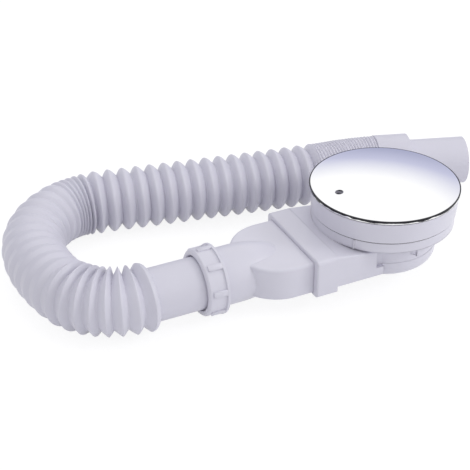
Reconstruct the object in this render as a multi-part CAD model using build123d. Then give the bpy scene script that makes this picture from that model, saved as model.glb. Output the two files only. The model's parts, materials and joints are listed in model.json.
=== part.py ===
from build123d import *
import os
from math import radians, sqrt, tan

# A low waste trap for a shower tray, with its extendable hose.
# Millimetres. The origin is on the drum's axis at the floor, +Z is up and the outlet points along -X.

# Clearances
SLIP = 0.2            # between pieces that push or drop together
LOOSE = 0.4           # round a piece that lifts out by hand

# Cover
COVER_R = 57.5        # edge of the chrome cover
COVER_RISE = 4.0      # dome above that edge
COVER_SKIN = 1.0      # pressed metal
COVER_LIP = 2.0       # turned-down edge
COVER_GAP = 1.0       # slot under the lip where water runs in
LIFT_HOLE_R = 3.2     # lifting hole
LIFT_HOLE_INSET = 17.5  # its place, from the edge on the outlet side
CARRIER_PLATE = 2.0   # moulded plate that backs the metal
CARRIER_INSET = 9.0   # from the cover's edge, clear of the water slot
LEG_THICK = 2.0       # legs of the plate, which stand on the dip insert
LEG_WIDTH = 9.0
LEG_COUNT = 4

# Flange
FLANGE_INSET = 0.5    # the flange's top edge lies just inside the cover's
FLANGE_TAPER = 1.4    # its base is narrower than its top
FLANGE_HEIGHT = 16.4
FLANGE_WALL = 2.5
FLANGE_FLOOR = 3.0
THROAT_R = 33.0       # opening in the floor, which takes the dip insert
THROAT_DROP = 7.0     # skirt under the floor
SEAL_THICK = 0.8      # flat seal between flange and body

# Flange screws
SCREW_R = 2.0
SCREW_LENGTH = 9.0
SCREW_HEAD_R = 4.0
SCREW_HEAD = 2.6
SCREW_COUNT = 4

# Dip insert and hair strainer
RIM_OVERLAP = 5.0     # rim of the insert on the flange's floor
RIM_THICK = 2.4
REBATE = 1.4          # step in the rim for the strainer
INSERT_WALL = 2.4
DIP_TUBE_R = 21.0
DIP_FUNNEL = 8.0      # height of the cone between neck and tube
DIP_MOUTH_Z = 12.2    # lower end of the dip tube
INSERT_SEAL = 1.6     # square seal ring round the neck
BASKET_DEPTH = 8.0
STRAINER_WALL = 1.4
STRAINER_SLOTS = 12
SLOT_WIDTH = 2.6
KNOB_R = 4.5

# Trap body
BODY_TOP = 51.8       # top of the collar
BODY_WALL = 2.5
COLLAR_INSET = 0.6    # the collar lies just inside the flange's base
COLLAR_HEIGHT = 8.0
DRUM_R = 42.0
COVE_HEIGHT = 8.0     # hollow sweep from the drum out to the collar
BELT = 0.25           # the drum's lower part stands proud by this much
BELT_TOP = 26.4
SUMP_RISE = 16.7      # the drum's floor falls from its edge to a flat foot
SUMP_EDGE = 9.0       # rounding of the drum's lower edge
FOOT_R = 16.0
CHANNEL_REACH = 61.5  # from the drum's axis to the band
CHANNEL_END = 22.0    # from the axis to the ends of its sides
CHANNEL_FALL = 7.2    # its top falls by this much from the band to the axis
CHANNEL_ROOM = 33.0   # half its width inside
CHANNEL_SIDE_STEP = 0.2
CHANNEL_TOP_STEP = 0.5
CHANNEL_FLOOR_STEP = 4.8
CHANNEL_CORNER = 1.6
BAND_LENGTH = 17.5    # socket for the outlet housing
BAND_SIDE = 5.6
BAND_ROOF = 3.2
BAND_FLOOR = 1.5
BAND_CORNER = 3.0
BAND_EDGE = 0.7       # chamfer of the band's mouth
NOTCH_WIDTH = 6.3     # notch in the ends of the channel's sides, above the belt
NOTCH_DEPTH = 4.0
RIB_WIDTH = 1.4       # upright rib on the collar
RIB_PROUD = 0.8
RIB_ANGLE = 144.3
POCKET_WIDTH = 7.4    # three-cornered pocket on the front of the drum
POCKET_HEIGHT = 5.2
POCKET_AT = 2.3       # its middle, sideways
POCKET_TOP = 33.3
POCKET_FLOOR = 1.0    # wall left behind it

# Outlet housing
HOUSING_HALF = 34.2   # half its width, and the radius of its round end
HOUSING_TOP = 41.8
HOUSING_HEIGHT = 26.5
HOUSING_WALL = 3.0
HOUSING_EDGE = 2.0
HOUSING_STRAIGHT = 14.2  # flat side between the band and the round end
HOUSING_INSERT = 17.0    # length inside the band
WEIR_TOP = 31.2          # wall that holds the water in the trap
WEIR_THICK = 2.4
WEIR_INSET = 2.5         # from the band's mouth
SPIGOT_R = 22.0
SPIGOT_REACH = 57.5   # from the round end's centre to the spigot's mouth
SPIGOT_BORE = 18.0
NOSE_LENGTH = 45.5    # fairing of the spigot into the housing
GROOVE_DEPTH = 1.5    # seal groove round the housing
GROOVE_WIDTH = 3.0
GROOVE_INSET = 8.0    # from the band's mouth

# Union nut and its seals
NUT_R = 26.9          # over the grips: the nut rests on the floor
NUT_LENGTH = 16.0
GRIP_COUNT = 8
GRIP_WIDTH = 4.7
GRIP_PROUD = 1.5
NUT_RING = 2.2        # plain ring behind the grips
GRIP_START = 3.2      # from the nut's mouth
NUT_LIP = 3.0
NUT_LIP_R = 21.0
NUT_FLARE = 1.5       # countersink in the lip
SLIP_RING = 1.6
CONE_LENGTH = 10.0
CONE_PROUD = 3.4      # seal left standing out of the spigot
CONE_THIN = 0.5       # thickness at its narrow end

# Hose
CUFF_R = 20.0
CUFF_LENGTH = 71.5
HOSE_WALL = 1.4
CREST_R = 25.6
VALLEY_R = 21.4
PITCH = 10.6          # ribs of the stretch that is pulled out
FOLD_VALLEY_R = 24.2
FOLD_PITCH = 3.2      # ribs of the stretch that is pushed together
FOLD_LENGTH = 56.0
END_COLLAR_R = 25.0
END_COLLAR = 25.0
END_STEP = 3.0
END_SPIGOT = 48.0
# Route from the nut's mouth, as seen from above: a hairpin, the long way back and the straight end.
ROUTE = [(-61, 0), (-87, 22), (-95.5, 60), (-94.5, 97), (-78, 128), (-44, 148), (5, 137.5), (56, 127.5),
         (107, 117), (158, 108), (196, 104), (287, 74)]

# Heights
FLANGE_Z = BODY_TOP + SEAL_THICK
FLOOR_Z = FLANGE_Z + FLANGE_FLOOR
FLANGE_TOP_Z = FLANGE_Z + FLANGE_HEIGHT
LIP_Z = FLANGE_TOP_Z + COVER_GAP
EDGE_Z = LIP_Z + COVER_LIP
RIM_Z = FLOOR_Z + RIM_THICK
REBATE_Z = RIM_Z - REBATE
HOUSING_Z = HOUSING_TOP - HOUSING_HEIGHT
OUTLET_Z = NUT_R

# Stations along the outlet
BAND_X = -CHANNEL_REACH - BAND_LENGTH
ROUND_X = BAND_X - HOUSING_STRAIGHT
HOUSING_X = BAND_X + HOUSING_INSERT
MOUTH_X = ROUND_X - SPIGOT_REACH
NOSE_X = ROUND_X - HOUSING_HALF
CONE_X = MOUTH_X - CONE_PROUD
LIP_X = CONE_X - SLIP_RING
NUT_X = LIP_X - NUT_LIP
STOP_X = NOSE_X - HOUSING_WALL

# Radii that follow from the fits
NECK_R = THROAT_R - LOOSE
RIM_R = THROAT_R + RIM_OVERLAP
FLANGE_TOP_R = COVER_R - FLANGE_INSET
FLANGE_BASE_R = FLANGE_TOP_R - FLANGE_TAPER
COLLAR_R = FLANGE_BASE_R - COLLAR_INSET
LIFT_HOLE_AT = COVER_R - LIFT_HOLE_INSET
SCREW_CIRCLE = (RIM_R + FLANGE_BASE_R - FLANGE_WALL) / 2
DRUM_BORE = DRUM_R - BODY_WALL
DOME_R = (COVER_R ** 2 + COVER_RISE ** 2) / (2 * COVER_RISE)
DOME_Z = EDGE_Z + COVER_RISE - DOME_R
CARRIER_R = COVER_R - CARRIER_INSET
CONE_R = SPIGOT_R - SLIP
NUT_BORE = SPIGOT_R + SLIP
HOSE_BORE = CUFF_R + SLIP

OUTLET_AXIS = Axis((0, 0, OUTLET_Z), (1, 0, 0))
OUTLET_PLANE = Plane(origin=(0, 0, OUTLET_Z), x_dir=(1, 0, 0), z_dir=(0, -1, 0))


def upright(*lines):
    """Turns an outline of (radius, height) about the drum's axis."""
    return revolve(Plane.XZ * make_face(Curve() + list(lines)), Axis.Z)


def along_outlet(*lines):
    """Turns an outline of (x, radius) about the outlet's axis."""
    return revolve(OUTLET_PLANE * make_face(Curve() + list(lines)), OUTLET_AXIS)


def ring(inner, outer, low, high):
    """Plain upright ring."""
    return upright(Polyline((inner, low), (outer, low), (outer, high), (inner, high), close=True))


def sleeve(inner, outer, start, end):
    """Plain ring about the outlet's axis."""
    return along_outlet(Polyline((start, inner), (start, outer), (end, outer), (end, inner), close=True))


def tunnel(start, end, half_width, low, high, corner):
    """Box with rounded long edges, lying along X."""
    section = Pos(0, (low + high) / 2) * RectangleRounded(2 * half_width, high - low, corner)
    return extrude(Plane.YZ.offset(start) * section, end - start)


def dome_block(radius, low, depth):
    """Round block up to the cover's dome, a given depth below its outer face."""
    ball = Pos(0, 0, DOME_Z) * Rot(90, 0, 0) * Sphere(DOME_R - depth)
    block = Pos(0, 0, low) * Cylinder(radius, DOME_R, align=(Align.CENTER, Align.CENTER, Align.MIN))
    return block & ball


def lift_hole(radius):
    return Pos(-LIFT_HOLE_AT, 0, EDGE_Z) * Cylinder(radius, 4 * (COVER_RISE + CARRIER_PLATE))


def cover_cap():
    inside = dome_block(COVER_R - COVER_SKIN, LIP_Z, COVER_SKIN)
    return dome_block(COVER_R, LIP_Z, 0) - inside - lift_hole(LIFT_HOLE_R)


def cover_carrier():
    top = COVER_SKIN + SLIP
    block = dome_block(CARRIER_R, RIM_Z, top)
    hollow = dome_block(COVER_R, RIM_Z, top + CARRIER_PLATE)
    leg = Box(LEG_THICK, LEG_WIDTH, DOME_R, align=(Align.CENTER, Align.CENTER, Align.MIN))
    for place in PolarLocations(RIM_R - LEG_THICK / 2, LEG_COUNT):
        hollow -= Pos(0, 0, RIM_Z) * place * leg
    return block - hollow - lift_hole(LIFT_HOLE_R + LOOSE)


def screw_places(height):
    return Pos(0, 0, height) * PolarLocations(SCREW_CIRCLE, SCREW_COUNT, start_angle=180 / SCREW_COUNT)


def screw_holes(radius, low, high):
    drill = Cylinder(radius, high - low, align=(Align.CENTER, Align.CENTER, Align.MIN))
    return screw_places(low) * drill


def waste_flange():
    inner_base = FLANGE_BASE_R - FLANGE_WALL
    outline = Polyline(
        (FLANGE_BASE_R, FLANGE_Z),
        (FLANGE_TOP_R, FLANGE_TOP_Z),
        (FLANGE_TOP_R - FLANGE_WALL, FLANGE_TOP_Z),
        (inner_base, FLOOR_Z),
        (THROAT_R, FLOOR_Z),
        (THROAT_R, FLANGE_Z - THROAT_DROP),
        (THROAT_R + FLANGE_WALL, FLANGE_Z - THROAT_DROP),
        (THROAT_R + FLANGE_WALL, FLANGE_Z),
        close=True,
    )
    return upright(outline) - screw_holes(SCREW_R + LOOSE, FLANGE_Z, FLOOR_Z)


def flange_seal():
    flat = ring(DRUM_BORE, COLLAR_R, BODY_TOP, FLANGE_Z)
    return flat - screw_holes(SCREW_R + LOOSE, BODY_TOP, FLANGE_Z)


def flange_screws():
    outline = Polyline(
        (0, -SCREW_LENGTH),
        (SCREW_R, -SCREW_LENGTH),
        (SCREW_R, 0),
        (SCREW_HEAD_R, 0),
        (SCREW_HEAD_R, SCREW_HEAD / 2),
        (SCREW_HEAD_R / 2, SCREW_HEAD),
        (0, SCREW_HEAD),
        close=True,
    )
    return Compound(screw_places(FLOOR_Z) * upright(outline))


def groove_z():
    """Height of the insert's seal, half way down the flange's skirt."""
    return FLOOR_Z - (FLANGE_FLOOR + THROAT_DROP) / 2


def dip_insert():
    neck_foot = FLANGE_Z - THROAT_DROP
    tube_top = neck_foot - DIP_FUNNEL
    neck_bore = NECK_R - INSERT_WALL
    tube_bore = DIP_TUBE_R - INSERT_WALL
    rebate_r = (neck_bore + RIM_R) / 2 + INSERT_WALL / 2
    outline = Polyline(
        (RIM_R, FLOOR_Z),
        (RIM_R, RIM_Z),
        (rebate_r, RIM_Z),
        (rebate_r, REBATE_Z),
        (neck_bore, REBATE_Z),
        (neck_bore, neck_foot),
        (tube_bore, tube_top),
        (tube_bore, DIP_MOUTH_Z),
        (DIP_TUBE_R, DIP_MOUTH_Z),
        (DIP_TUBE_R, tube_top),
        (NECK_R, neck_foot),
        (NECK_R, FLOOR_Z),
        close=True,
    )
    half = INSERT_SEAL / 2 + SLIP
    groove = ring(NECK_R - INSERT_SEAL + LOOSE - SLIP, RIM_R, groove_z() - half, groove_z() + half)
    return upright(outline) - groove


def insert_seal():
    outer = THROAT_R - SLIP / 2
    half = INSERT_SEAL / 2
    return ring(outer - INSERT_SEAL, outer, groove_z() - half, groove_z() + half)


def hair_strainer():
    neck_bore = NECK_R - INSERT_WALL
    rebate_r = (neck_bore + RIM_R) / 2 + INSERT_WALL / 2
    cup_r = neck_bore - LOOSE
    floor = RIM_Z - BASKET_DEPTH
    outline = Polyline(
        (0, floor),
        (cup_r, floor),
        (cup_r, REBATE_Z),
        (rebate_r - LOOSE, REBATE_Z),
        (rebate_r - LOOSE, RIM_Z),
        (cup_r - STRAINER_WALL, RIM_Z),
        (cup_r - STRAINER_WALL, floor + STRAINER_WALL),
        (KNOB_R, floor + STRAINER_WALL),
        (KNOB_R / 2, floor + BASKET_DEPTH / 2),
        (KNOB_R, RIM_Z),
        (0, RIM_Z),
        close=True,
    )
    slot_start = 2 * KNOB_R
    slot_end = cup_r - 2 * STRAINER_WALL
    slot = Box(slot_end - slot_start, SLOT_WIDTH, 4 * STRAINER_WALL)
    slots = Pos(0, 0, floor) * PolarLocations((slot_start + slot_end) / 2, STRAINER_SLOTS) * slot
    return upright(outline) - slots


def drum_outside():
    belt_r = DRUM_R + BELT
    cove_z = BODY_TOP - COLLAR_HEIGHT - COVE_HEIGHT
    collar_z = BODY_TOP - COLLAR_HEIGHT
    wall = Polyline((0, BODY_TOP), (0, 0), (FOOT_R, 0), (belt_r, SUMP_RISE), (belt_r, BELT_TOP),
                    (DRUM_R, BELT_TOP), (DRUM_R, cove_z))
    cove = TangentArc((DRUM_R, cove_z), (COLLAR_R, collar_z), tangent=(0, 1))
    collar = Polyline((COLLAR_R, collar_z), (COLLAR_R, BODY_TOP), (0, BODY_TOP))
    face = make_face(Curve() + [wall, cove, collar])
    edge = face.vertices().sort_by_distance((belt_r, SUMP_RISE, 0))[0]
    return revolve(Plane.XZ * fillet(edge, SUMP_EDGE), Axis.Z)


def drum_inside():
    slope = SUMP_RISE / (DRUM_R + BELT - FOOT_R)
    lift = BODY_WALL * sqrt(1 + slope ** 2)
    foot_r = FOOT_R - (lift - BODY_WALL) / slope
    corner = (DRUM_BORE, (DRUM_BORE - FOOT_R) * slope + lift)
    face = make_face(Polyline((0, BODY_WALL), (foot_r, BODY_WALL), corner, (DRUM_BORE, BODY_TOP),
                              (0, BODY_TOP), close=True))
    edge = face.vertices().sort_by_distance((*corner, 0))[0]
    return revolve(Plane.XZ * fillet(edge, SUMP_EDGE - BODY_WALL), Axis.Z)


def channel_block(start, end, half, low, high):
    """The channel as a block: its top falls from the band towards the drum."""
    slope = CHANNEL_FALL / CHANNEL_REACH
    drops = [high - slope * (x + CHANNEL_REACH) for x in (start, end)]
    side = make_face(Polyline((start, low), (end, low), (end, drops[1]), (start, drops[0]), close=True))
    return extrude(Plane.XZ.offset(-half) * side, 2 * half)


def channel_outside(half, low, high):
    """The channel's outer form, with rounded long edges and a notch in the end of each side."""
    start = -CHANNEL_REACH - BAND_EDGE
    block = channel_block(start, -CHANNEL_END, half, low, high)
    length = CHANNEL_REACH - CHANNEL_END
    long_edges = [edge for edge in block.edges() if abs(edge.center().Y) > half / 2 and edge.length > length]
    block = fillet(long_edges, CHANNEL_CORNER)
    notch = Box(NOTCH_WIDTH, 2 * NOTCH_DEPTH, high, align=(Align.MAX, Align.CENTER, Align.MIN))
    for side in (-half, half):
        block -= Pos(-CHANNEL_END, side, BELT_TOP) * notch
    return block + channel_block(-CHANNEL_END, 0, CHANNEL_ROOM, low, high)


def trap_body():
    socket_half = HOUSING_HALF + SLIP
    socket_low = HOUSING_Z - SLIP
    socket_high = HOUSING_TOP + SLIP
    band_half = socket_half + BAND_SIDE
    band_low = socket_low - BAND_FLOOR
    band_high = socket_high + BAND_ROOF
    half = band_half - CHANNEL_SIDE_STEP
    low = band_low + CHANNEL_FLOOR_STEP
    high = band_high - CHANNEL_TOP_STEP
    band = tunnel(BAND_X, -CHANNEL_REACH, band_half, band_low, band_high, BAND_CORNER)
    band = chamfer(band.faces().sort_by(Axis.X)[0].edges(), BAND_EDGE)
    body = drum_outside() + channel_outside(half, low, high) + band
    rib = Box(2 * RIB_PROUD, RIB_WIDTH, COLLAR_HEIGHT, align=(Align.CENTER, Align.CENTER, Align.MAX))
    body += Rot(0, 0, -RIB_ANGLE) * Pos(COLLAR_R, 0, BODY_TOP) * rib
    body -= drum_inside()
    body -= channel_block(HOUSING_X, 0, CHANNEL_ROOM, low + BODY_WALL, high - BODY_WALL)
    body -= tunnel(BAND_X, HOUSING_X, socket_half, socket_low, socket_high, HOUSING_EDGE)
    body -= front_pocket()
    return body - screw_holes(SCREW_R + SLIP / 2, FLOOR_Z - SCREW_LENGTH - LOOSE, BODY_TOP)


def front_pocket():
    """Three-cornered pocket in the front of the drum, under the collar."""
    left = POCKET_AT - POCKET_WIDTH / 2
    right = POCKET_AT + POCKET_WIDTH / 2
    low = POCKET_TOP - POCKET_HEIGHT
    flat = make_face(Polyline((left, POCKET_TOP), (right, POCKET_TOP), (right, low), close=True))
    return extrude(Plane.XZ.offset(DRUM_BORE + POCKET_FLOOR) * flat, BODY_WALL)


def plan_outline(half_width, start):
    """The housing as seen from above: a straight stretch and a round end."""
    sides = Polyline((ROUND_X, -half_width), (start, -half_width), (start, half_width), (ROUND_X, half_width))
    end = ThreePointArc((ROUND_X, half_width), (ROUND_X - half_width, 0), (ROUND_X, -half_width))
    return make_face(Curve() + [sides, end])


def outlet_housing():
    block = extrude(Plane.XY.offset(HOUSING_Z) * plan_outline(HOUSING_HALF, HOUSING_X), HOUSING_HEIGHT)
    flats = block.faces().filter_by(Axis.Z)
    edges = flats[0].edges() + flats[-1].edges()
    rounded = [edge for edge in edges if edge.center().X < HOUSING_X - HOUSING_WALL]
    block = fillet(rounded, HOUSING_EDGE)
    outside = spigot(MOUTH_X, SPIGOT_R, NOSE_LENGTH)
    bore = spigot(STOP_X, SPIGOT_BORE, NOSE_LENGTH - HOUSING_WALL)
    room = extrude(
        Plane.XY.offset(HOUSING_Z + HOUSING_WALL) * plan_outline(HOUSING_HALF - HOUSING_WALL, HOUSING_X),
        HOUSING_HEIGHT - 2 * HOUSING_WALL,
    )
    weir_x = BAND_X - WEIR_INSET
    inner_half = HOUSING_HALF - HOUSING_WALL
    weir_height = WEIR_TOP - HOUSING_Z - HOUSING_WALL
    weir = Box(WEIR_THICK, 2 * inner_half, weir_height, align=(Align.MAX, Align.CENTER, Align.MIN))
    weir = Pos(weir_x, 0, HOUSING_Z + HOUSING_WALL) * weir
    cone_end = CONE_X + CONE_LENGTH
    seat_x = cone_end + SLIP
    seat_r = cone_radius(cone_end) + SLIP
    mouth = along_outlet(
        Polyline((MOUTH_X, 0), (MOUTH_X, cone_radius(MOUTH_X) + SLIP), (seat_x, seat_r),
                 (seat_x, HOSE_BORE), (STOP_X, HOSE_BORE), (STOP_X, 0), close=True))
    groove_end = groove_x() + GROOVE_WIDTH
    groove = tunnel(groove_x(), groove_end, 2 * HOUSING_HALF, -HOUSING_TOP, 3 * HOUSING_TOP, HOUSING_EDGE)
    groove -= seal_core(groove_x(), GROOVE_WIDTH, GROOVE_DEPTH)
    return block + outside - bore - room - mouth + weir - groove


def spigot(start, radius, nose):
    """Round bar with an elliptical nose, which runs out in the housing's top."""
    tip = NOSE_X + nose
    side = Polyline((tip, 0), (start, 0), (start, radius), (NOSE_X, radius))
    return along_outlet(side, EllipticalCenterArc((NOSE_X, 0), nose, radius))


def groove_x():
    return BAND_X + GROOVE_INSET


def seal_core(start, length, depth):
    """The housing's section, cut back by a depth."""
    return tunnel(
        start, start + length, HOUSING_HALF - depth, HOUSING_Z + depth, HOUSING_TOP - depth, HOUSING_EDGE / 2)


def outlet_seal():
    start = groove_x() + SLIP
    length = GROOVE_WIDTH - 2 * SLIP
    swell = SLIP / 2
    end = start + length
    outside = tunnel(
        start, end, HOUSING_HALF + swell, HOUSING_Z - swell, HOUSING_TOP + swell, HOUSING_EDGE + swell)
    return outside - seal_core(start, length, GROOVE_DEPTH - swell)


def cone_radius(x):
    """Outside of the cone seal, which narrows into the spigot."""
    narrow = HOSE_BORE + CONE_THIN
    return CONE_R - (CONE_R - narrow) * (x - CONE_X) / CONE_LENGTH


def cone_seal():
    end = CONE_X + CONE_LENGTH
    thin_r = cone_radius(end)
    return along_outlet(
        Polyline((CONE_X, HOSE_BORE), (CONE_X, CONE_R), (end, thin_r), (end, HOSE_BORE), close=True))


def slip_ring():
    return sleeve(HOSE_BORE, CONE_R, LIP_X, CONE_X)


def union_nut():
    end = NUT_X + NUT_LENGTH
    base_r = NUT_R - GRIP_PROUD
    outline = Polyline(
        (NUT_X, NUT_LIP_R + NUT_FLARE),
        (NUT_X, base_r - GRIP_PROUD),
        (NUT_X + GRIP_PROUD, base_r),
        (end - NUT_RING, base_r),
        (end - NUT_RING, NUT_R),
        (end, NUT_R),
        (end, NUT_BORE),
        (LIP_X, NUT_BORE),
        (LIP_X, NUT_LIP_R),
        (LIP_X - NUT_LIP + NUT_FLARE, NUT_LIP_R),
        close=True,
    )
    nut = along_outlet(outline)
    grip_start = NUT_X + GRIP_START
    grip_length = end - NUT_RING - grip_start
    grip = Box(grip_length, GRIP_WIDTH, 2 * GRIP_PROUD, align=(Align.MIN, Align.CENTER, Align.MAX))
    for count in range(GRIP_COUNT):
        turn = Rot(count * 360 / GRIP_COUNT, 0, 0)
        nut += Pos(grip_start, 0, OUTLET_Z) * turn * Pos(0, 0, NUT_R) * grip
    return nut


def route_points():
    """The hose's corners: level with the nut at first, then lying on the floor."""
    flat = [(NUT_X + x, y) for x, y in ROUTE]
    heights = [OUTLET_Z, (OUTLET_Z + CREST_R) / 2] + [CREST_R] * (len(flat) - 2)
    corners = [Vector(x, y, z) for (x, y), z in zip(flat, heights)]
    return [Vector(STOP_X, 0, OUTLET_Z)] + corners


def hose_route():
    """Straight runs joined by arcs as large as the runs allow."""
    points = route_points()
    runs = [b - a for a, b in zip(points, points[1:])]
    radii = []
    for before, after in zip(runs, runs[1:]):
        turn = radians(before.get_angle(after))
        radii.append(0.45 * min(before.length, after.length) / tan(turn / 2))
    print("hose radii", [round(radius) for radius in radii])
    return FilletPolyline(*points, radius=radii)


def hose_ring(route, distance, radius):
    """Circle across the route, a distance along it."""
    centre = route.position_at(distance, position_mode=PositionMode.LENGTH)
    ahead = route.tangent_at(distance, position_mode=PositionMode.LENGTH)
    return Wire.make_circle(radius, Plane(origin=centre, x_dir=(0, 0, 1), z_dir=ahead))


def rib_stations(start, end, pitch, crest, valley):
    """Distances and radii of a ribbed stretch, from one valley to the next."""
    count = round((end - start) / pitch)
    step = (end - start) / count
    stations = []
    for rib in range(count):
        stations.append((start + rib * step, valley))
        stations.append((start + (rib + 0.5) * step, crest))
    return stations


def bellows(route, start, fold, end, inset):
    """The ribbed wall as a solid plug, drawn in by an inset."""
    stations = rib_stations(start, fold, PITCH, CREST_R, VALLEY_R)
    stations[0] = (start, CUFF_R)
    stations += rib_stations(fold, end, FOLD_PITCH, CREST_R, FOLD_VALLEY_R)
    stations.append((end, END_COLLAR_R))
    rings = [hose_ring(route, distance, radius - inset) for distance, radius in stations]
    return Solid.make_loft(rings, ruled=True)


def hose_cuff(route, radius):
    return Plane(origin=route @ 0, z_dir=route % 0) * Cylinder(
        radius, CUFF_LENGTH, align=(Align.CENTER, Align.CENTER, Align.MIN))


def hose_end(route, inset):
    """Collar and spigot at the far end, drawn in by an inset."""
    length = END_COLLAR + END_SPIGOT
    collar_r = END_COLLAR_R - inset
    spigot_r = CUFF_R - inset
    shoulder = END_COLLAR - inset
    outline = Polyline((0, 0), (collar_r, 0), (collar_r, shoulder - END_STEP), (spigot_r, shoulder),
                       (spigot_r, length), (0, length), close=True)
    turned = revolve(Plane.XZ * make_face(outline), Axis.Z)
    return Plane(origin=route @ 1 - (route % 1) * length, z_dir=route % 1) * turned


def hose():
    route = hose_route()
    start = CUFF_LENGTH
    end = route.length - END_COLLAR - END_SPIGOT
    fold = end - FOLD_LENGTH
    outside = hose_cuff(route, CUFF_R) + bellows(route, start, fold, end, 0) + hose_end(route, 0)
    inside = (hose_cuff(route, CUFF_R - HOSE_WALL) + bellows(route, start, fold, end, HOSE_WALL)
              + hose_end(route, HOSE_WALL))
    print("hose length", round(route.length))
    return outside - inside


PIECES = {
    "cover_cap": cover_cap,
    "cover_carrier": cover_carrier,
    "waste_flange": waste_flange,
    "flange_seal": flange_seal,
    "flange_screws": flange_screws,
    "dip_insert": dip_insert,
    "insert_seal": insert_seal,
    "hair_strainer": hair_strainer,
    "trap_body": trap_body,
    "outlet_housing": outlet_housing,
    "outlet_seal": outlet_seal,
    "cone_seal": cone_seal,
    "slip_ring": slip_ring,
    "union_nut": union_nut,
    "hose": hose,
}

os.makedirs("parts", exist_ok=True)
for name, make in PIECES.items():
    export_step(make(), f"parts/{name}.step")
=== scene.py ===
# %% [markdown]
# # Dressing a shower tray waste trap
# The hard pieces of this trap come from CAD as a fixed frame, already in place and in metres.
# This lesson gives each of them its finish, blows the ribbed hose along its route, and adds rounded grips to the nut.

# %% Load the frame
import json
import math

import bmesh
import bpy
from mathutils import Matrix, Vector


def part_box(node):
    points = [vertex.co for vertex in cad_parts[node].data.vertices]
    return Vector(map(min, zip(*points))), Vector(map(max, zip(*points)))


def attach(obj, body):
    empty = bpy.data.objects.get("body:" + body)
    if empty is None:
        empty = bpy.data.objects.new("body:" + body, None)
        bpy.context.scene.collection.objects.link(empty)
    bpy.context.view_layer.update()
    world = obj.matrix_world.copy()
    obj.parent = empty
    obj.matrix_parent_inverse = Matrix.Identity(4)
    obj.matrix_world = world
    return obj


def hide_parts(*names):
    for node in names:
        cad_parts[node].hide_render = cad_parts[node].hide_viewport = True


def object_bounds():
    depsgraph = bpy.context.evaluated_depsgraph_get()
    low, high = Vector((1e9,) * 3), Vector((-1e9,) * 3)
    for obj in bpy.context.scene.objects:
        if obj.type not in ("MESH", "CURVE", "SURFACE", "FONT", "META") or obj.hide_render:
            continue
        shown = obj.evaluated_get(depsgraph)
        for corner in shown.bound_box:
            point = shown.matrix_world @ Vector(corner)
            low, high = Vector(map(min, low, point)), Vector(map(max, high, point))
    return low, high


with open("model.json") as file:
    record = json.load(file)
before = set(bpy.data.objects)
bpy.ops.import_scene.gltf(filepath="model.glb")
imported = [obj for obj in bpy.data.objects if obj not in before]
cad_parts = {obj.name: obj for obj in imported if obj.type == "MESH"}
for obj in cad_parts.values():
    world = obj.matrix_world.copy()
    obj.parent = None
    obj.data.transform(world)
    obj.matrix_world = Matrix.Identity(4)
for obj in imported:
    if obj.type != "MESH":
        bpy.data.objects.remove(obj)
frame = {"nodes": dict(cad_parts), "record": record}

MM = 0.001
scene = bpy.context.scene
nodes = frame["nodes"]
cad_box = [list(corner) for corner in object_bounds()]
print("CAD box", cad_box)

# %% [markdown]
# ## Camera
# A product photo like this is taken from a little above with a long lens, so that the round cover stays nearly true.
# The camera is placed by its angle round the trap, its height and its distance from a point on the floor.

# %% Camera
AZIMUTH = math.radians(-25.84)
ELEVATION = math.radians(32.24)
DISTANCE = 0.97382
TARGET = Vector((-0.0867, 0.0824, 0.0022))
LENS = 91.17

back = Vector((
    math.sin(AZIMUTH) * math.cos(ELEVATION),
    -math.cos(AZIMUTH) * math.cos(ELEVATION),
    math.sin(ELEVATION),
))
camera_data = bpy.data.cameras.new("camera")
camera_data.sensor_width = 36
camera_data.lens = LENS
camera = bpy.data.objects.new("camera", camera_data)
camera.location = TARGET + back * DISTANCE
camera.rotation_mode = "QUATERNION"
camera.rotation_quaternion = (-back).to_track_quat("-Z", "Y")
scene.collection.objects.link(camera)
scene.camera = camera
print("camera at", [round(x, 3) for x in camera.location])

# %% [markdown]
# ## Finishes
# Every finish is a small node network on the piece's own coordinates, so it stays put when the part is moved.
# Uniform values go straight on the shader. Only what varies over the surface is linked: a cloudy tint, the gloss and
# a fine grain. The Bevel node rounds the light on hard edges, as a mould rounds the edges themselves.

# %% Helpers for finishes
EDGE_SAMPLES = 8
TINT_FROM = 0.3
TINT_TO = 0.7


def shader_net(name):
    """A new material with its node tree and its Principled shader."""
    finish = bpy.data.materials.new(name)
    finish.use_nodes = True
    return finish, finish.node_tree, finish.node_tree.nodes["Principled BSDF"]


def noise(tree, scale, detail):
    """Cloudy pattern on the piece's own coordinates. Scale is in patches a metre."""
    place = tree.nodes.new("ShaderNodeTexCoord")
    cloud = tree.nodes.new("ShaderNodeTexNoise")
    cloud.inputs["Scale"].default_value = scale
    cloud.inputs["Detail"].default_value = detail
    tree.links.new(place.outputs["Object"], cloud.inputs["Vector"])
    return cloud.outputs["Fac"]


def tint(tree, shader, pattern, dark, light):
    """Base colour that wanders between two near shades."""
    ramp = tree.nodes.new("ShaderNodeValToRGB")
    ramp.color_ramp.elements[0].position = TINT_FROM
    ramp.color_ramp.elements[0].color = (*dark, 1)
    ramp.color_ramp.elements[1].position = TINT_TO
    ramp.color_ramp.elements[1].color = (*light, 1)
    tree.links.new(pattern, ramp.inputs["Fac"])
    tree.links.new(ramp.outputs["Color"], shader.inputs["Base Color"])


def gloss(tree, shader, pattern, low, high):
    """Roughness that wanders between two values."""
    span = tree.nodes.new("ShaderNodeMapRange")
    span.inputs["To Min"].default_value = low
    span.inputs["To Max"].default_value = high
    tree.links.new(pattern, span.inputs["Value"])
    tree.links.new(span.outputs["Result"], shader.inputs["Roughness"])


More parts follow.
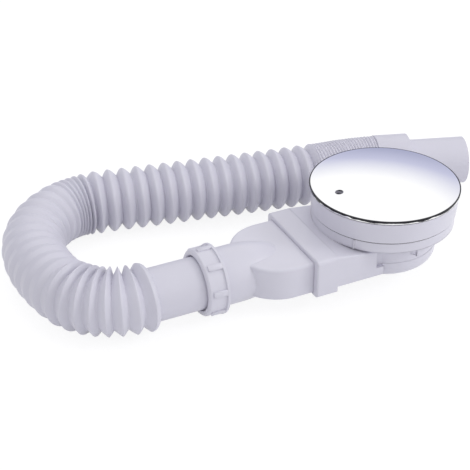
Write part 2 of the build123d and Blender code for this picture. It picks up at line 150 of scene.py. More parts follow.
def grain(tree, shader, pattern, strength, depth, edge=None):
    """Fine relief. The light on hard edges is rounded over a width, if one is given."""
    relief = tree.nodes.new("ShaderNodeBump")
    relief.inputs["Strength"].default_value = strength
    relief.inputs["Distance"].default_value = depth
    tree.links.new(pattern, relief.inputs["Height"])
    tree.links.new(relief.outputs["Normal"], shader.inputs["Normal"])
    if edge:
        rounded = tree.nodes.new("ShaderNodeBevel")
        rounded.samples = EDGE_SAMPLES
        rounded.inputs["Radius"].default_value = edge
        tree.links.new(rounded.outputs["Normal"], relief.inputs["Normal"])


def calc(tree, operation, *terms):
    """A math node. Its terms are numbers or other nodes' outputs."""
    made = tree.nodes.new("ShaderNodeMath")
    made.operation = operation
    for socket, term in zip(made.inputs, terms):
        if isinstance(term, bpy.types.NodeSocket):
            tree.links.new(term, socket)
        else:
            socket.default_value = term
    return made.outputs[0]


def fade(tree, value, start, end):
    """0 up to a start, and 1 from an end on."""
    span = tree.nodes.new("ShaderNodeMapRange")
    span.inputs["From Min"].default_value = start
    span.inputs["From Max"].default_value = end
    tree.links.new(value, span.inputs["Value"])
    return span.outputs["Result"]


# %% [markdown]
# ### White plastic
# The trap is moulded and the hose is blown, both in the same cool white. A blown wall is a little duller.
# One function makes both finishes. Large mouldings have wider soft edges than small ones, so the trap's body and
# housing get a finish of their own with a wider rounding.

# %% White plastic of the trap and of the hose
TRAP_WHITE = (0.675, 0.665, 0.745)
HOSE_WHITE = (0.655, 0.645, 0.725)
MOULDED_ROUGH = 0.3
BLOWN_ROUGH = 0.42
SMALL_EDGE = 0.5 * MM
LARGE_EDGE = 1.6 * MM
PLASTIC_IOR = 1.46
SHADE_SPREAD = 0.02
GLOSS_SPREAD = 0.05


def moulded_plastic(name, colour, rough, edge=None):
    """Plastic of a nearly even colour. The soft edges of a moulding are given as a width."""
    finish, tree, shader = shader_net(name)
    shader.inputs["IOR"].default_value = PLASTIC_IOR
    dark = [(1 - SHADE_SPREAD) * part for part in colour]
    light = [(1 + SHADE_SPREAD) * part for part in colour]
    tint(tree, shader, noise(tree, scale=24, detail=3), dark, light)
    gloss(tree, shader, noise(tree, scale=60, detail=4), rough - GLOSS_SPREAD, rough + GLOSS_SPREAD)
    grain(tree, shader, noise(tree, scale=1400, detail=2), strength=0.12, depth=0.05 * MM, edge=edge)
    return finish


white_plastic = moulded_plastic("white_plastic", TRAP_WHITE, MOULDED_ROUGH, SMALL_EDGE)
soft_plastic = moulded_plastic("soft_plastic", TRAP_WHITE, MOULDED_ROUGH, LARGE_EDGE)
hose_plastic = moulded_plastic("hose_plastic", HOSE_WHITE, BLOWN_ROUGH)
print("plastics", [finish.name for finish in (white_plastic, soft_plastic, hose_plastic)])

# %% [markdown]
# ### Chrome
# The cover is a pressed plate, polished and plated. Where its edge turns down over the water slot, the plate mirrors
# the dark below as a thin, broken line. That reflection is painted into the finish, which breaks it up more easily than
# a piece of its own.
# The painted colour is dark where a point is near the rim and above a height that wanders a little.

# %% Chrome plate
# Painted reflection along the cover's rim: where the band lies, how it wanders, its blur and its dark colour.
RIM_FROM = 1.1 * MM
RIM_TO = 0.8 * MM
LINE_WANDER = 3 * MM
LINE_BLUR = 0.1 * MM
PAINTED_REFLECTION_DARK = (0.03, 0.03, 0.035, 1)


def chrome_plate(edge_radius, edge_height):
    """Polished plate with a painted reflection round its edge: a dark, broken line where it turns down over the water
    slot.
    """
    finish, tree, shader = shader_net("chrome_plate")
    shader.inputs["Metallic"].default_value = 1
    tint(tree, shader, noise(tree, scale=30, detail=2), dark=(0.96, 0.96, 0.97), light=(0.985, 0.985, 0.99))
    gloss(tree, shader, noise(tree, scale=45, detail=4), low=0.03, high=0.07)
    grain(tree, shader, noise(tree, scale=90, detail=1), strength=0.02, depth=0.05 * MM)
    plate = shader.inputs["Base Color"].links[0].from_socket

    # Painted reflection: the base colour turns dark in a thin, broken band along the rim, standing in for the dark that
    # the turned-down edge mirrors.
    place = tree.nodes.new("ShaderNodeTexCoord")
    parts = tree.nodes.new("ShaderNodeSeparateXYZ")
    tree.links.new(place.outputs["Object"], parts.inputs["Vector"])
    x, y, z = parts.outputs
    away = calc(tree, "SQRT", calc(tree, "ADD", calc(tree, "MULTIPLY", x, x), calc(tree, "MULTIPLY", y, y)))
    rim = fade(tree, away, edge_radius - RIM_FROM, edge_radius - RIM_TO)
    wandering = calc(tree, "MULTIPLY_ADD", noise(tree, scale=110, detail=3), LINE_WANDER, z)
    line = fade(tree, wandering, edge_height - LINE_BLUR, edge_height + LINE_BLUR)
    blend = tree.nodes.new("ShaderNodeMix")
    blend.data_type = "RGBA"
    tree.links.new(calc(tree, "MULTIPLY", rim, line), blend.inputs["Factor"])
    tree.links.new(plate, blend.inputs["A"])
    blend.inputs["B"].default_value = PAINTED_REFLECTION_DARK
    tree.links.new(blend.outputs["Result"], shader.inputs["Base Color"])
    return finish


COVER_LIP = 2 * MM
cover_low, cover_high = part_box("cover_cap")
chrome = chrome_plate(cover_high.x, cover_low.z + COVER_LIP)
print("chrome with its rim at", round(cover_high.x / MM, 2), "mm from the axis")

# %% [markdown]
# ### Rubber and steel
# The seals are soft black rubber, and the screws are turned steel. Little of them is seen once the trap is together,
# so a tint, an uneven gloss and a fine grain are enough.

# %% Rubber and steel
THIN_EDGE = 0.2 * MM


def seal_rubber():
    """Dull black rubber with a fine grain."""
    finish, tree, shader = shader_net("seal_rubber")
    tint(tree, shader, noise(tree, scale=120, detail=3), dark=(0.03, 0.03, 0.035), light=(0.06, 0.06, 0.065))
    gloss(tree, shader, noise(tree, scale=300, detail=3), low=0.5, high=0.7)
    grain(tree, shader, noise(tree, scale=2200, detail=2), strength=0.3, depth=0.05 * MM, edge=THIN_EDGE)
    return finish


def screw_steel():
    """Bare metal, a little uneven from turning."""
    finish, tree, shader = shader_net("screw_steel")
    shader.inputs["Metallic"].default_value = 1
    tint(tree, shader, noise(tree, scale=400, detail=4), dark=(0.52, 0.52, 0.54), light=(0.64, 0.64, 0.66))
    gloss(tree, shader, noise(tree, scale=900, detail=4), low=0.22, high=0.4)
    grain(tree, shader, noise(tree, scale=2600, detail=2), strength=0.2, depth=0.02 * MM, edge=THIN_EDGE)
    return finish


finishes = {
    "white_plastic": white_plastic,
    "hose_plastic": hose_plastic,
    "chrome": chrome,
    "seal_rubber": seal_rubber(),
    "screw_steel": screw_steel(),
}
print("finishes by slot", sorted(finishes))

# %% [markdown]
# ### Finishes on the CAD pieces
# The record names a material slot for each piece, so a loop can hand out the finishes, and no piece is forgotten.

# %% Give each CAD piece its finish
LARGE_MOULDINGS = ("outlet_housing", "trap_body")
for row in frame["record"]["subparts"]:
    piece = nodes[row["node"]]
    piece.data.materials.clear()
    soft = row["node"] in LARGE_MOULDINGS
    piece.data.materials.append(soft_plastic if soft else finishes[row["material_slot"]])
print("finishes on", len(nodes), "CAD pieces")

# %% [markdown]
# ## Geometry Nodes as a recipe
# What repeats or follows a path is made by Geometry Nodes: the hose's ribs and the nut's grips.
# A small class keeps the trees readable. It opens a tree with named sizes, writes formulas as math nodes,
# and closes the tree with Realize Instances and Set Material, so that the result is a plain mesh with its finish.


# %% Recipe class
class Recipe:
    """A Geometry Nodes tree written as short formulas."""

    def __init__(self, name, sizes):
        """Opens a tree that takes a mesh, a finish and named sizes."""
        self.tree = bpy.data.node_groups.new(name, "GeometryNodeTree")
        plugs = self.tree.interface
        plugs.new_socket("Geometry", in_out="INPUT", socket_type="NodeSocketGeometry")
        plugs.new_socket("Finish", in_out="INPUT", socket_type="NodeSocketMaterial")
        for label in sizes:
            plugs.new_socket(label, in_out="INPUT", socket_type="NodeSocketFloat")
        plugs.new_socket("Geometry", in_out="OUTPUT", socket_type="NodeSocketGeometry")
        self.sizes = sizes
        self.given = self.tree.nodes.new("NodeGroupInput").outputs

    def node(self, kind, terms=None, **settings):
        """A node with its terms plugged in. Gives its outputs."""
        made = self.tree.nodes.new(kind)
        for key, value in settings.items():
            setattr(made, key, value)
        for label, term in (terms or {}).items():
            self.plug(term, made.inputs[label])
        return made.outputs

    def plug(self, term, socket):
        """Links another node's output to a socket, or writes a plain value on it."""
        if isinstance(term, bpy.types.NodeSocket):
            self.tree.links.new(term, socket)
        else:
            socket.default_value = term

    def math(self, operation, *terms):
        """A formula with numbers."""
        return self.node("ShaderNodeMath", dict(enumerate(terms)), operation=operation)[0]

    def vector(self, operation, *terms):
        """A formula with vectors."""
        outputs = self.node("ShaderNodeVectorMath", dict(enumerate(terms)), operation=operation)
        return outputs["Value" if operation == "DOT_PRODUCT" else "Vector"]

    def before(self, distance, limit, early, late):
        """One value before a limit along the path, and another after it."""
        test = self.math("LESS_THAN", distance, limit)
        return self.math("MULTIPLY_ADD", test, self.math("SUBTRACT", early, late), late)

    def share(self, value):
        """A value held between 0 and 1."""
        return self.math("MINIMUM", self.math("MAXIMUM", value, 0.0), 1.0)

    def close(self, geometry):
        """Ends the tree with a plain, smooth mesh in its finish."""
        real = self.node("GeometryNodeRealizeInstances", {"Geometry": geometry})[0]
        smooth = self.node("GeometryNodeSetShadeSmooth", {"Geometry": real})[0]
        dressed = self.node("GeometryNodeSetMaterial", {"Geometry": smooth, "Material": self.given["Finish"]})[0]
        end = self.tree.nodes.new("NodeGroupOutput")
        self.plug(dressed, end.inputs["Geometry"])

    def make(self, piece, finish):
        """Runs the tree on a piece and keeps the result as its mesh."""
        values = {"Finish": finish, **self.sizes}
        modifier = piece.modifiers.new(self.tree.name, "NODES")
        modifier.node_group = self.tree
        for item in self.tree.interface.items_tree:
            if item.in_out == "INPUT" and item.name in values:
                modifier[item.identifier] = values[item.name]
        ready = piece.evaluated_get(bpy.context.evaluated_depsgraph_get())
        mesh = bpy.data.meshes.new_from_object(ready)
        piece.modifiers.clear()
        piece.data = mesh
        print(piece.name, len(mesh.polygons), "faces")


def add_piece(name, mesh):
    """Puts a mesh or a curve into the scene, at the origin."""
    piece = bpy.data.objects.new(name, mesh)
    scene.collection.objects.link(piece)
    return piece


# %% [markdown]
# ## Route of the hose
# The hose leaves the nut, turns back in a hairpin on the floor and runs behind the trap to its plain end.
# A NURBS spline takes the corners of that route as its control points and gives one smooth line, as a stiff hose lies.
# The mesh follows points read from that spline, so nothing has to be rounded by hand.

# %% Hose route
nut_low, nut_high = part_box("union_nut")
MOUTH_X = nut_low.x
OUTLET_Z = (nut_low.z + nut_high.z) / 2
CREST_R = 25.6 * MM
START_IN_NUT = 12 * MM
POINTS_A_CORNER = 96

ROUTE = [
    (-0.028, 0.000), (-0.061, 0.000), (-0.087, 0.022), (-0.0955, 0.060), (-0.0945, 0.097), (-0.078, 0.128),
    (-0.044, 0.148), (0.005, 0.1375), (0.056, 0.1275), (0.107, 0.117), (0.158, 0.108), (0.196, 0.104),
    (0.232, 0.0921), (0.287, 0.074),
]
CORNERS_AT_NUT_HEIGHT = 2

route = [Vector((MOUTH_X + START_IN_NUT, 0, OUTLET_Z))]
for count, (x, y) in enumerate(ROUTE):
    level = OUTLET_Z if count < CORNERS_AT_NUT_HEIGHT else CREST_R
    route.append(Vector((MOUTH_X + x, y, level)))
route[CORNERS_AT_NUT_HEIGHT + 1].z = (OUTLET_Z + CREST_R) / 2

line_data = bpy.data.curves.new("hose_line", "CURVE")
line_data.dimensions = "3D"
line_data.resolution_u = POINTS_A_CORNER
spline = line_data.splines.new("NURBS")
spline.points.add(len(route) - 1)
for point, place in zip(spline.points, route):
    point.co = (*place, 1)
spline.order_u = 3
spline.use_endpoint_u = True
line = add_piece("hose_line", line_data)
path_mesh = bpy.data.meshes.new_from_object(line.evaluated_get(bpy.context.evaluated_depsgraph_get()))
bpy.data.objects.remove(line)
path = [vertex.co.copy() for vertex in path_mesh.vertices]
runs = [(b - a).length for a, b in zip(path, path[1:])]
hose_length = sum(runs)
print("hose line", len(path), "points", round(hose_length, 4), "m")

# %% [markdown]
# ### Bend of the path
# The wall of a bent bellows opens on the outside of the bend and folds up on the inside.
# To let the recipe know which side is which, each point of the path carries a vector towards the centre of its bend.
# The tighter the bend, the longer the vector.

# %% Bend of the path
REACH = 14
bend = path_mesh.attributes.new("bend", "FLOAT_VECTOR", "POINT")
for count in range(len(path)):
    first = max(count - REACH, 0)
    last = min(count + REACH, len(path) - 1)
    middle = (first + last) // 2
    before = path[middle] - path[first]
    after = path[last] - path[middle]
    turn = (after.normalized() - before.normalized()) / ((before.length + after.length) / 2)
    bend.data[count].vector = turn
tightest = max(row.vector.length for row in bend.data)
print("tightest bend", round(1 / tightest, 3), "m in radius")

# %% [markdown]
# ## The bellows
# The real hose is blown in a ribbed mould: a plain cuff, a fat first ring, ribs that can be pulled out, a stretch that
# is still pushed together, a collar and a plain end. All of that is one rule for the radius along the path.
# The recipe sweeps a circle along the path and then moves each point out to the radius that the rule gives,
# with less swing where the wall is stretched. The sizes come first, as named inputs of the recipe.

# %% Sizes of the bellows
CUFF_R = 20 * MM
CUFF_END = 48 * MM
SHOULDER = 5.3 * MM
END_SPIGOT = 48 * MM
END_COLLAR = 30 * MM
END_STEP = 1.5 * MM
FOLD_LENGTH = 55.4 * MM
FOLD_PITCH = 2.64 * MM
RIBS = 40
RISE_SHARE = 0.4
FRONT_EXTRA = 2.2
BACK_EXTRA = 3.0
CIRCLE_POINTS = 60

collar_start = hose_length - END_SPIGOT - END_COLLAR
fold_start = collar_start - FOLD_LENGTH
folds = round(FOLD_LENGTH / FOLD_PITCH)
rib_pitch = (fold_start - CUFF_END - SHOULDER) / (RIBS - FRONT_EXTRA - BACK_EXTRA)

bellows = Recipe("bellows", {
    "Cuff radius": CUFF_R,
    "Crest radius": CREST_R,
    "Valley radius": 19.6 * MM,
    "Fold crest radius": 25.2 * MM,
    "Fold valley radius": 23.9 * MM,
    "Collar radius": CREST_R,
    "Cuff end": CUFF_END,
    "Shoulder end": CUFF_END + SHOULDER,
    "Rib start": CUFF_END + SHOULDER - RISE_SHARE * rib_pitch,
    "Fold start": fold_start,
    "Collar start": collar_start,
    "Step start": collar_start + END_COLLAR - END_STEP,
    "Step length": END_STEP,
    "Rib pitch": rib_pitch,
    "Fold pitch": FOLD_LENGTH / folds,
    "Rise share": RISE_SHARE,
    "Front extra": FRONT_EXTRA,
    "Front from": 46 * MM,
    "Front to": 120 * MM,
    "Back extra": BACK_EXTRA,
    "Back from": 238 * MM,
    "Back to": 268 * MM,
    "Front roundness": 0.2,
    "Far roundness": 0.8,
    "Slackness": 0.5,
    "Least swing": 0.3,
    "Most swing": 1.1,
    "Flat start": 102 * MM,
    "Flat end": 250 * MM,
    "Flat blend": 24 * MM,
    "Flat swing": 0.3,
    "Flat lift": 0.8 * MM,
})
size = bellows.given
along = bellows.node("GeometryNodeSplineParameter")["Length"]
print("ribs", RIBS, "at", round(rib_pitch / MM, 2), "mm, folds", folds)


# %% [markdown]
# ### Ribs and folds
# A rib rises on a short side and falls on a longer one. The ribs sit closer together before and after the hairpin, and
# they are sharper in front and rounder on the far run. Placing each rib by hand would take forty numbers.
# A count of ribs that grows along the path takes a few: where the count grows faster, the ribs are closer.

# %% Formulas for ribs
def eased(start, end):
    """Goes softly from 0 at a start to 1 at an end."""
    terms = {"Value": along, "From Min": start, "From Max": end}
    return bellows.node("ShaderNodeMapRange", terms, interpolation_type="SMOOTHSTEP")["Result"]


def counted(start, pitch):
    """How many ribs have gone by since a start."""
    return bellows.math("DIVIDE", bellows.math("SUBTRACT", along, start), pitch)


def rib_wave(count, roundness):
    """0 in a valley and 1 on a crest, with a short side, a long side and a rounding between 0 and 1."""
    gone = bellows.math("FRACT", count)
    rise = bellows.math("DIVIDE", gone, size["Rise share"])
    left = bellows.math("SUBTRACT", 1.0, gone)
    fall = bellows.math("DIVIDE", left, bellows.math("SUBTRACT", 1.0, size["Rise share"]))
    straight = bellows.math("MINIMUM", rise, fall)
    curved = bellows.math("SINE", bellows.math("MULTIPLY", straight, math.pi / 2))
    extra = bellows.math("SUBTRACT", curved, straight)
    return bellows.math("MULTIPLY_ADD", extra, roundness, straight)


def mean_and_swing(crest, valley, wave):
    """Middle radius of a ribbed wall, and how far the wave takes it from there."""
    mean = bellows.math("MULTIPLY", bellows.math("ADD", crest, valley), 0.5)
    swing = bellows.math("MULTIPLY", bellows.math("SUBTRACT", wave, 0.5), bellows.math("SUBTRACT", crest, valley))
    return mean, swing


# %% Ribs and folds along the path
rib_count = counted(size["Rib start"], size["Rib pitch"])
for stretch in ("Front", "Back"):
    closer = eased(size[stretch + " from"], size[stretch + " to"])
    rib_count = bellows.math("MULTIPLY_ADD", closer, size[stretch + " extra"], rib_count)
fold_count = counted(size["Fold start"], size["Fold pitch"])
rounder = bellows.math("SUBTRACT", size["Far roundness"], size["Front roundness"])
roundness = bellows.math("MULTIPLY_ADD", eased(size["Front to"], size["Back to"]), rounder, size["Front roundness"])
rib_mean, rib_swing = mean_and_swing(size["Crest radius"], size["Valley radius"], rib_wave(rib_count, roundness))
fold_mean, fold_swing = mean_and_swing(
    size["Fold crest radius"], size["Fold valley radius"], rib_wave(fold_count, roundness))
print("ribs and folds in", len(bellows.tree.nodes), "nodes")

# %% [markdown]
# ### Plain stretches
# The first rib swells out of the cuff as a quarter of an ellipse. The far end is a collar that steps down to a spigot.
# Round the hairpin the outside of the wall is pulled nearly flat, so there the ribs fade out and come back.

# %% Shoulder behind the cuff
swell_length = bellows.math("SUBTRACT", size["Shoulder end"], size["Cuff end"])
swollen = bellows.share(bellows.math("DIVIDE", bellows.math("SUBTRACT", along, size["Cuff end"]), swell_length))
flat = bellows.math("SUBTRACT", 1.0, swollen)
quarter = bellows.math("SQRT", bellows.math("SUBTRACT", 1.0, bellows.math("MULTIPLY", flat, flat)))
swell = bellows.math("SUBTRACT", size["Crest radius"], size["Cuff radius"])
shoulder = bellows.math("MULTIPLY_ADD", quarter, swell, size["Cuff radius"])

# %% Collar and spigot
past_step = bellows.math("SUBTRACT", along, size["Step start"])
stepped = bellows.share(bellows.math("DIVIDE", past_step, size["Step length"]))
step = bellows.math("SUBTRACT", size["Cuff radius"], size["Collar radius"])
far_end = bellows.math("MULTIPLY_ADD", stepped, step, size["Collar radius"])

# %% Flat ribs round the hairpin
fading = eased(size["Flat start"], bellows.math("ADD", size["Flat start"], size["Flat blend"]))
back_again = eased(size["Flat end"], bellows.math("ADD", size["Flat end"], size["Flat blend"]))
flat_share = bellows.math("SUBTRACT", fading, back_again)
lost = bellows.math("MULTIPLY", flat_share, bellows.math("SUBTRACT", 1.0, size["Flat swing"]))
rib_swing = bellows.math("MULTIPLY", rib_swing, bellows.math("SUBTRACT", 1.0, lost))
rib_mean = bellows.math("MULTIPLY_ADD", flat_share, size["Flat lift"], rib_mean)

# %% [markdown]
# ### One rule for the whole hose
# The stretches are put together from the far end back to the cuff: each limit picks the value before it or after it.
# The middle radius and the swing are kept apart, because a bend changes the swing alone.

# %% Radius along the path
mean = bellows.before(along, size["Collar start"], fold_mean, far_end)
mean = bellows.before(along, size["Fold start"], rib_mean, mean)
mean = bellows.before(along, size["Shoulder end"], shoulder, mean)
mean = bellows.before(along, size["Cuff end"], size["Cuff radius"], mean)
swing = bellows.before(along, size["Collar start"], fold_swing, 0.0)
swing = bellows.before(along, size["Fold start"], rib_swing, swing)
swing = bellows.before(along, size["Shoulder end"], 0.0, swing)
print("whole rule in", len(bellows.tree.nodes), "nodes")

# %% [markdown]
# ### Sweep
# The path keeps its radius, its swing and its centre as attributes. A circle is swept along it, and each point of the
# tube then reads them back and moves out from the centre. On the inside of a bend the ribs swing a little wider, and on
# the outside they are pulled straighter.

# %% Sweep a circle along the path
line_geometry = bellows.node("GeometryNodeMeshToCurve", {"Mesh": size["Geometry"]})[0]
for label, kind, value in (
    ("mean", "FLOAT", mean),
    ("swing", "FLOAT", swing),
    ("centre", "FLOAT_VECTOR", bellows.node("GeometryNodeInputPosition")[0]),
):
    line_geometry = bellows.node(
        "GeometryNodeStoreNamedAttribute", {"Geometry": line_geometry, "Name": label, "Value": value},
        data_type=kind, domain="POINT")[0]
circle = bellows.node(
    "GeometryNodeCurvePrimitiveCircle", {"Resolution": CIRCLE_POINTS, "Radius": size["Crest radius"]})
tube = bellows.node("GeometryNodeCurveToMesh", {"Curve": line_geometry, "Profile Curve": circle["Curve"]})[0]


# %% Move the wall out to its radius
def kept(label, kind):
    """Reads back what the path keeps."""
    return bellows.node("GeometryNodeInputNamedAttribute", {"Name": label}, data_type=kind)["Attribute"]


outwards = bellows.vector("NORMALIZE", bellows.vector(
    "SUBTRACT", bellows.node("GeometryNodeInputPosition")[0], kept("centre", "FLOAT_VECTOR")))
inside = bellows.vector("DOT_PRODUCT", outwards, kept("bend", "FLOAT_VECTOR"))
squeeze = bellows.math("MULTIPLY", inside, size["Crest radius"])
share = bellows.math("MULTIPLY_ADD", squeeze, size["Slackness"], 1.0)
share = bellows.math("MINIMUM", bellows.math("MAXIMUM", share, size["Least swing"]), size["Most swing"])
radius = bellows.math("MULTIPLY_ADD", kept("swing", "FLOAT"), share, kept("mean", "FLOAT"))
offset = bellows.node("ShaderNodeVectorMath", {0: outwards, "Scale": radius}, operation="SCALE")["Vector"]
place = bellows.vector("ADD", kept("centre", "FLOAT_VECTOR"), offset)
bellows.close(bellows.node("GeometryNodeSetPosition", {"Geometry": tube, "Position": place})[0])

hose = add_piece("ribbed_hose", path_mesh)
bellows.make(hose, hose_plastic)

# %% [markdown]
# ### Ends of the hose
# A swept tube is open at both ends. The real hose has a wall, so each end gets a lip as wide as the wall and a bore
# that goes in, closed far enough inside to look like a dark pipe.

# %% Hose ends
HOSE_WALL = 1.4 * MM
BORE_DEPTH = {0: 20 * MM, -1: 70 * MM}


def hollow_end(mesh, end, neighbour, depth):
    """Adds the wall's lip and the bore at one end of the tube."""
    centre = path[end]
    inwards = (path[neighbour] - centre).normalized()
    work = bmesh.new()
    work.from_mesh(mesh)
    rim = [edge for edge in work.edges
           if edge.is_boundary and (edge.verts[0].co - centre).length < 2 * CREST_R]
    for step_in, step_along in ((HOSE_WALL, 0), (0, depth)):
        grown = bmesh.ops.extrude_edge_only(work, edges=rim)["geom"]
        rim = [part for part in grown if isinstance(part, bmesh.types.BMEdge) and part.is_boundary]
        for vertex in {vertex for edge in rim for vertex in edge.verts}:
            spoke = vertex.co - centre
            spoke -= inwards * spoke.dot(inwards)
            vertex.co += inwards * step_along - spoke.normalized() * step_in
    bmesh.ops.holes_fill(work, edges=rim)
    bmesh.ops.recalc_face_normals(work, faces=work.faces)
    for face in work.faces:
        face.smooth = True
    work.to_mesh(mesh)
    work.free()


SHARP = math.radians(70)
for end, neighbour in ((0, 1), (-1, -2)):
    hollow_end(hose.data, end, neighbour, BORE_DEPTH[end])
hose.data.set_sharp_from_angle(angle=SHARP)
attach(hose, "root")
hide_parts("hose")
print("hose with its ends", len(hose.data.polygons), "faces")

# %% [markdown]
# ## Union nut
# The nut draws the hose onto the spigot. It is a ring with eight grips, moulded in one. The ring could be cut from a
# cylinder, but an outline turned about the outlet's axis holds the lip, the bore and the far ring in ten points.
# A small bevel gives it the edges of a moulding.

# %% Helpers for the nut
BEVEL_STEPS = 3
BEVEL_FROM = math.radians(25)


def bevelled(piece, width):
    """Rounds a piece's hard edges and keeps the result as its mesh."""
    modifier = piece.modifiers.new("edges", "BEVEL")
    modifier.width = width
    modifier.segments = BEVEL_STEPS
    modifier.limit_method = "ANGLE"
    modifier.angle_limit = BEVEL_FROM
    modifier.harden_normals = True
    mesh = bpy.data.meshes.new_from_object(piece.evaluated_get(bpy.context.evaluated_depsgraph_get()))
    piece.modifiers.clear()
    piece.data = mesh


def turned(name, outline, steps):
    """Turns a closed outline of (x, radius) about the outlet's axis."""
    work = bmesh.new()
    rings = []
    for count in range(steps):
        angle = 2 * math.pi * count / steps
        rings.append([
            work.verts.new((x, r * math.sin(angle), OUTLET_Z + r * math.cos(angle))) for x, r in outline])
    for this, following in zip(rings, rings[1:] + rings[:1]):
        for a in range(len(outline)):
            b = (a + 1) % len(outline)
            work.faces.new((this[a], this[b], following[b], following[a]))
    bmesh.ops.recalc_face_normals(work, faces=work.faces)
    for face in work.faces:
        face.smooth = True
    mesh = bpy.data.meshes.new(name)
    work.to_mesh(mesh)
    work.free()
    return add_piece(name, mesh)


# %% Ring of the nut
NUT_R = (nut_high.z - nut_low.z) / 2
NUT_END = nut_high.x
GRIP_PROUD = 1.5 * MM
NUT_BASE_R = NUT_R - GRIP_PROUD
NUT_BORE_R = 22.2 * MM
LIP_R = 21.0 * MM
NUT_LIP = 3 * MM
NUT_FLARE = 0.7 * MM
NUT_RING = 2.2 * MM
NUT_EDGE = 0.45 * MM
NUT_STEPS = 128

nut = turned("nut_ring", [
    (MOUTH_X, LIP_R + NUT_FLARE),
    (MOUTH_X, NUT_BASE_R - GRIP_PROUD),
    (MOUTH_X + GRIP_PROUD, NUT_BASE_R),
    (NUT_END - NUT_RING, NUT_BASE_R),
    (NUT_END - NUT_RING, NUT_R),
    (NUT_END, NUT_R),
    (NUT_END, NUT_BORE_R),
    (MOUTH_X + NUT_LIP, NUT_BORE_R),
    (MOUTH_X + NUT_LIP, LIP_R),
    (MOUTH_X + NUT_FLARE, LIP_R),
], NUT_STEPS)
nut.data.materials.append(white_plastic)
bevelled(nut, NUT_EDGE)
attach(nut, "root")
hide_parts("union_nut")
print("nut ring", len(nut.data.polygons), "faces")

# %% [markdown]
# ### Grips
# The grips are for the hand that tightens the nut. One rounded bar is made above the axis and sunk a little into the
# ring. A recipe sets copies of it on points and turns each by its number, so the count of grips is one value.

# %% Grips of the nut
GRIPS = 8
GRIP_TURN = math.radians(-8.5)
GRIP_WIDTH = 4.7 * MM
GRIP_START = 3.2 * MM
GRIP_SUNK = 0.8 * MM
GRIP_LOWER = 0.1 * MM
GRIP_EDGE = 0.6 * MM


def grip_bar():
    """One bar above the nut's axis, sunk a little into the ring. The axis lies at height 0 here."""
    first = Vector((MOUTH_X + GRIP_START, -GRIP_WIDTH / 2, NUT_BASE_R - GRIP_SUNK))
    last = Vector((NUT_END - NUT_RING / 2, GRIP_WIDTH / 2, NUT_R - GRIP_LOWER))
    work = bmesh.new()
    bmesh.ops.create_cube(work, size=1, matrix=Matrix.LocRotScale((first + last) / 2, None, last - first))
    mesh = bpy.data.meshes.new("nut_grips")
    work.to_mesh(mesh)
    work.free()
    bar = add_piece("nut_grips", mesh)
    bevelled(bar, GRIP_EDGE)
    return bar


grips = grip_bar()
wheel = Recipe("grip_wheel", {"Grips": float(GRIPS), "First turn": GRIP_TURN, "Axis height": OUTLET_Z})
spots = wheel.node("GeometryNodePoints", {"Count": wheel.given["Grips"]})[0]
turn = wheel.math("DIVIDE", 2 * math.pi, wheel.given["Grips"])
angle = wheel.math("MULTIPLY_ADD", wheel.node("GeometryNodeInputIndex")[0], turn, wheel.given["First turn"])
turned_bars = wheel.node("GeometryNodeInstanceOnPoints", {
    "Points": spots,
    "Instance": wheel.given["Geometry"],
    "Rotation": wheel.node("ShaderNodeCombineXYZ", {"X": angle})[0],
})[0]
wheel.close(wheel.node("GeometryNodeTransform", {
    "Geometry": turned_bars,
    "Translation": wheel.node("ShaderNodeCombineXYZ", {"Z": wheel.given["Axis height"]})[0],
})[0])
wheel.make(grips, white_plastic)
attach(grips, "root")

# %% [markdown]
# ## Floor
# The trap lies on a plain white floor. The camera and mirror-like surfaces see a mix of an even white glow and of the
# lit floor, so the floor looks white and still keeps a faint shadow. Diffuse rays meet the lit floor alone.

# %% Floor
FLOOR_HALF = 3.0
FLOOR_WHITE = 1.12
SHADOW_SHARE = 0.22


def sees_background(tree):
    """1 for rays from the camera, and for those that a mirror or glass sends on."""
    rays = tree.nodes.new("ShaderNodeLightPath").outputs
    mirrored = calc(tree, "MAXIMUM", rays["Is Glossy Ray"], rays["Is Transmission Ray"])
    return calc(tree, "MAXIMUM", rays["Is Camera Ray"], mirrored)


def floor_finish():
    """Pale floor that glows white for the camera and in mirrors."""
    finish, tree, shader = shader_net("floor_white")
    shader.inputs["Base Color"].default_value = (0.88, 0.88, 0.9, 1)
    shader.inputs["Roughness"].default_value = 0.9
    glow = tree.nodes.new("ShaderNodeEmission")
    glow.inputs["Strength"].default_value = FLOOR_WHITE
    blend = tree.nodes.new("ShaderNodeMixShader")
    tree.links.new(calc(tree, "MULTIPLY", sees_background(tree), 1 - SHADOW_SHARE), blend.inputs["Fac"])
    tree.links.new(shader.outputs["BSDF"], blend.inputs[1])
    tree.links.new(glow.outputs["Emission"], blend.inputs[2])
    tree.links.new(blend.outputs["Shader"], tree.nodes["Material Output"].inputs["Surface"])
    return finish


floor_mesh = bpy.data.meshes.new("floor")
corners = [(x * FLOOR_HALF, y * FLOOR_HALF, cad_box[0][2]) for x, y in ((-1, -1), (1, -1), (1, 1), (-1, 1))]
floor_mesh.from_pydata(corners, [], [(0, 1, 2, 3)])
floor_mesh.materials.append(floor_finish())
add_piece("floor", floor_mesh)
print("floor at", round(cad_box[0][2], 4), "m")

# %% [markdown]
# ## Surroundings
# Chrome shows little but what stands around it. In a photo studio that is white panels in a darker room.
# The panels could be real sheets, but then they would light the trap as well. Here they are painted into the world by
# direction and shown to mirror rays alone. The camera sees white, and the trap gets an even, softer fill.

# %% Panels
AMBIENT = 0.7
MIRROR_WHITE = 1.05
VIOLET = (0.37, 0.385, 0.54, 1)
LAVENDER = (0.55, 0.56, 0.72, 1)
BACK_PANEL = (0.468, 0.89, 1.0)
BACK_SPAN = (1.19, 1.36)
FRONT_PANEL = (0.0, -0.86, 0.51)
FRONT_SPAN = (0.0, 0.5)


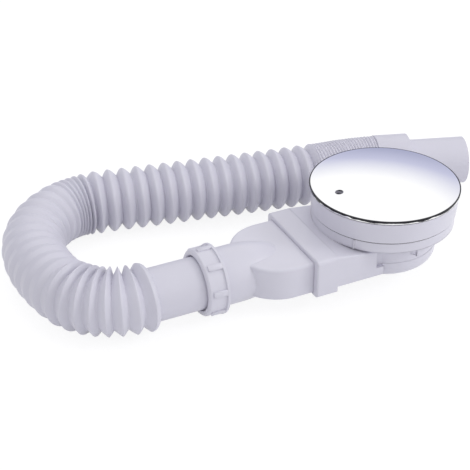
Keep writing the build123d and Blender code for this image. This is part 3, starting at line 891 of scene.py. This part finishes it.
def panel(tree, direction, towards, span):
    """A soft white panel in the surroundings: 0 outside its span and 1 inside."""
    leaning = tree.nodes.new("ShaderNodeVectorMath")
    leaning.operation = "DOT_PRODUCT"
    leaning.inputs[1].default_value = towards
    tree.links.new(direction, leaning.inputs[0])
    return fade(tree, leaning.outputs["Value"], *span)


# %% World
def studio_world():
    """White for the camera, white panels in violet surroundings for the chrome, and a softer fill light."""
    world = bpy.data.worlds.new("studio")
    world.use_nodes = True
    tree = world.node_tree
    tree.nodes.clear()
    direction = tree.nodes.new("ShaderNodeTexCoord").outputs["Generated"]
    bright = calc(
        tree, "MAXIMUM",
        panel(tree, direction, BACK_PANEL, BACK_SPAN),
        panel(tree, direction, FRONT_PANEL, FRONT_SPAN))
    ramp = tree.nodes.new("ShaderNodeValToRGB")
    ramp.color_ramp.elements[0].color = VIOLET
    ramp.color_ramp.elements.new(0.5).color = LAVENDER
    ramp.color_ramp.elements[-1].color = (1, 1, 1, 1)
    tree.links.new(bright, ramp.inputs["Fac"])
    rays = tree.nodes.new("ShaderNodeLightPath").outputs
    white = tree.nodes.new("ShaderNodeBackground")
    mirror = tree.nodes.new("ShaderNodeBackground")
    fill = tree.nodes.new("ShaderNodeBackground")
    fill.inputs["Color"].default_value = (0.98, 0.98, 1, 1)
    fill.inputs["Strength"].default_value = AMBIENT
    white.inputs["Color"].default_value = (1, 1, 1, 1)
    tree.links.new(ramp.outputs["Color"], mirror.inputs["Color"])
    mirror.inputs["Strength"].default_value = MIRROR_WHITE
    reflected = tree.nodes.new("ShaderNodeMixShader")
    tree.links.new(rays["Is Glossy Ray"], reflected.inputs["Fac"])
    tree.links.new(fill.outputs[0], reflected.inputs[1])
    tree.links.new(mirror.outputs[0], reflected.inputs[2])
    seen = tree.nodes.new("ShaderNodeMixShader")
    tree.links.new(rays["Is Camera Ray"], seen.inputs["Fac"])
    tree.links.new(reflected.outputs[0], seen.inputs[1])
    tree.links.new(white.outputs[0], seen.inputs[2])
    end = tree.nodes.new("ShaderNodeOutputWorld")
    tree.links.new(seen.outputs[0], end.inputs["Surface"])
    return world


scene.world = studio_world()
print("world", scene.world.name)


# %% [markdown]
# ## Lamps
# A large soft lamp overhead gives the even light. A smaller one from the right in front models the round forms and
# puts the bright lights on the plastic. A weak, wide lamp low in front opens the shadows under the cover.
# Mirrors see only the second one, so the chrome stays calm.

# %% Lamps
def soft_lamp(name, place, aim, side, power, mirrored):
    """A square lamp that shines from a place towards an aim, seen in mirrors or not."""
    lamp_data = bpy.data.lights.new(name, "AREA")
    lamp_data.shape = "SQUARE"
    lamp_data.size = side
    lamp_data.energy = power
    lamp = bpy.data.objects.new(name, lamp_data)
    lamp.location = place
    lamp.rotation_mode = "QUATERNION"
    lamp.rotation_quaternion = (Vector(aim) - Vector(place)).to_track_quat("-Z", "Y")
    lamp.visible_glossy = mirrored
    scene.collection.objects.link(lamp)


MIDDLE = (-0.08, 0.05, 0.0)
ABOVE_MIDDLE = (-0.08, 0.05, 0.02)
soft_lamp("overhead", place=(-0.1, 0.25, 1.35), aim=MIDDLE, side=0.8, power=3.4, mirrored=False)
soft_lamp("right_key", place=(1.1, -0.75, 0.95), aim=MIDDLE, side=0.45, power=5.5, mirrored=True)
soft_lamp("low_front", place=(0.5, -1.4, 0.3), aim=ABOVE_MIDDLE, side=1.0, power=2.0, mirrored=False)

# %% [markdown]
# ## Finish
# Colours are shown as they are written, with no film look.

# %% Finish
scene.view_settings.view_transform = "Standard"
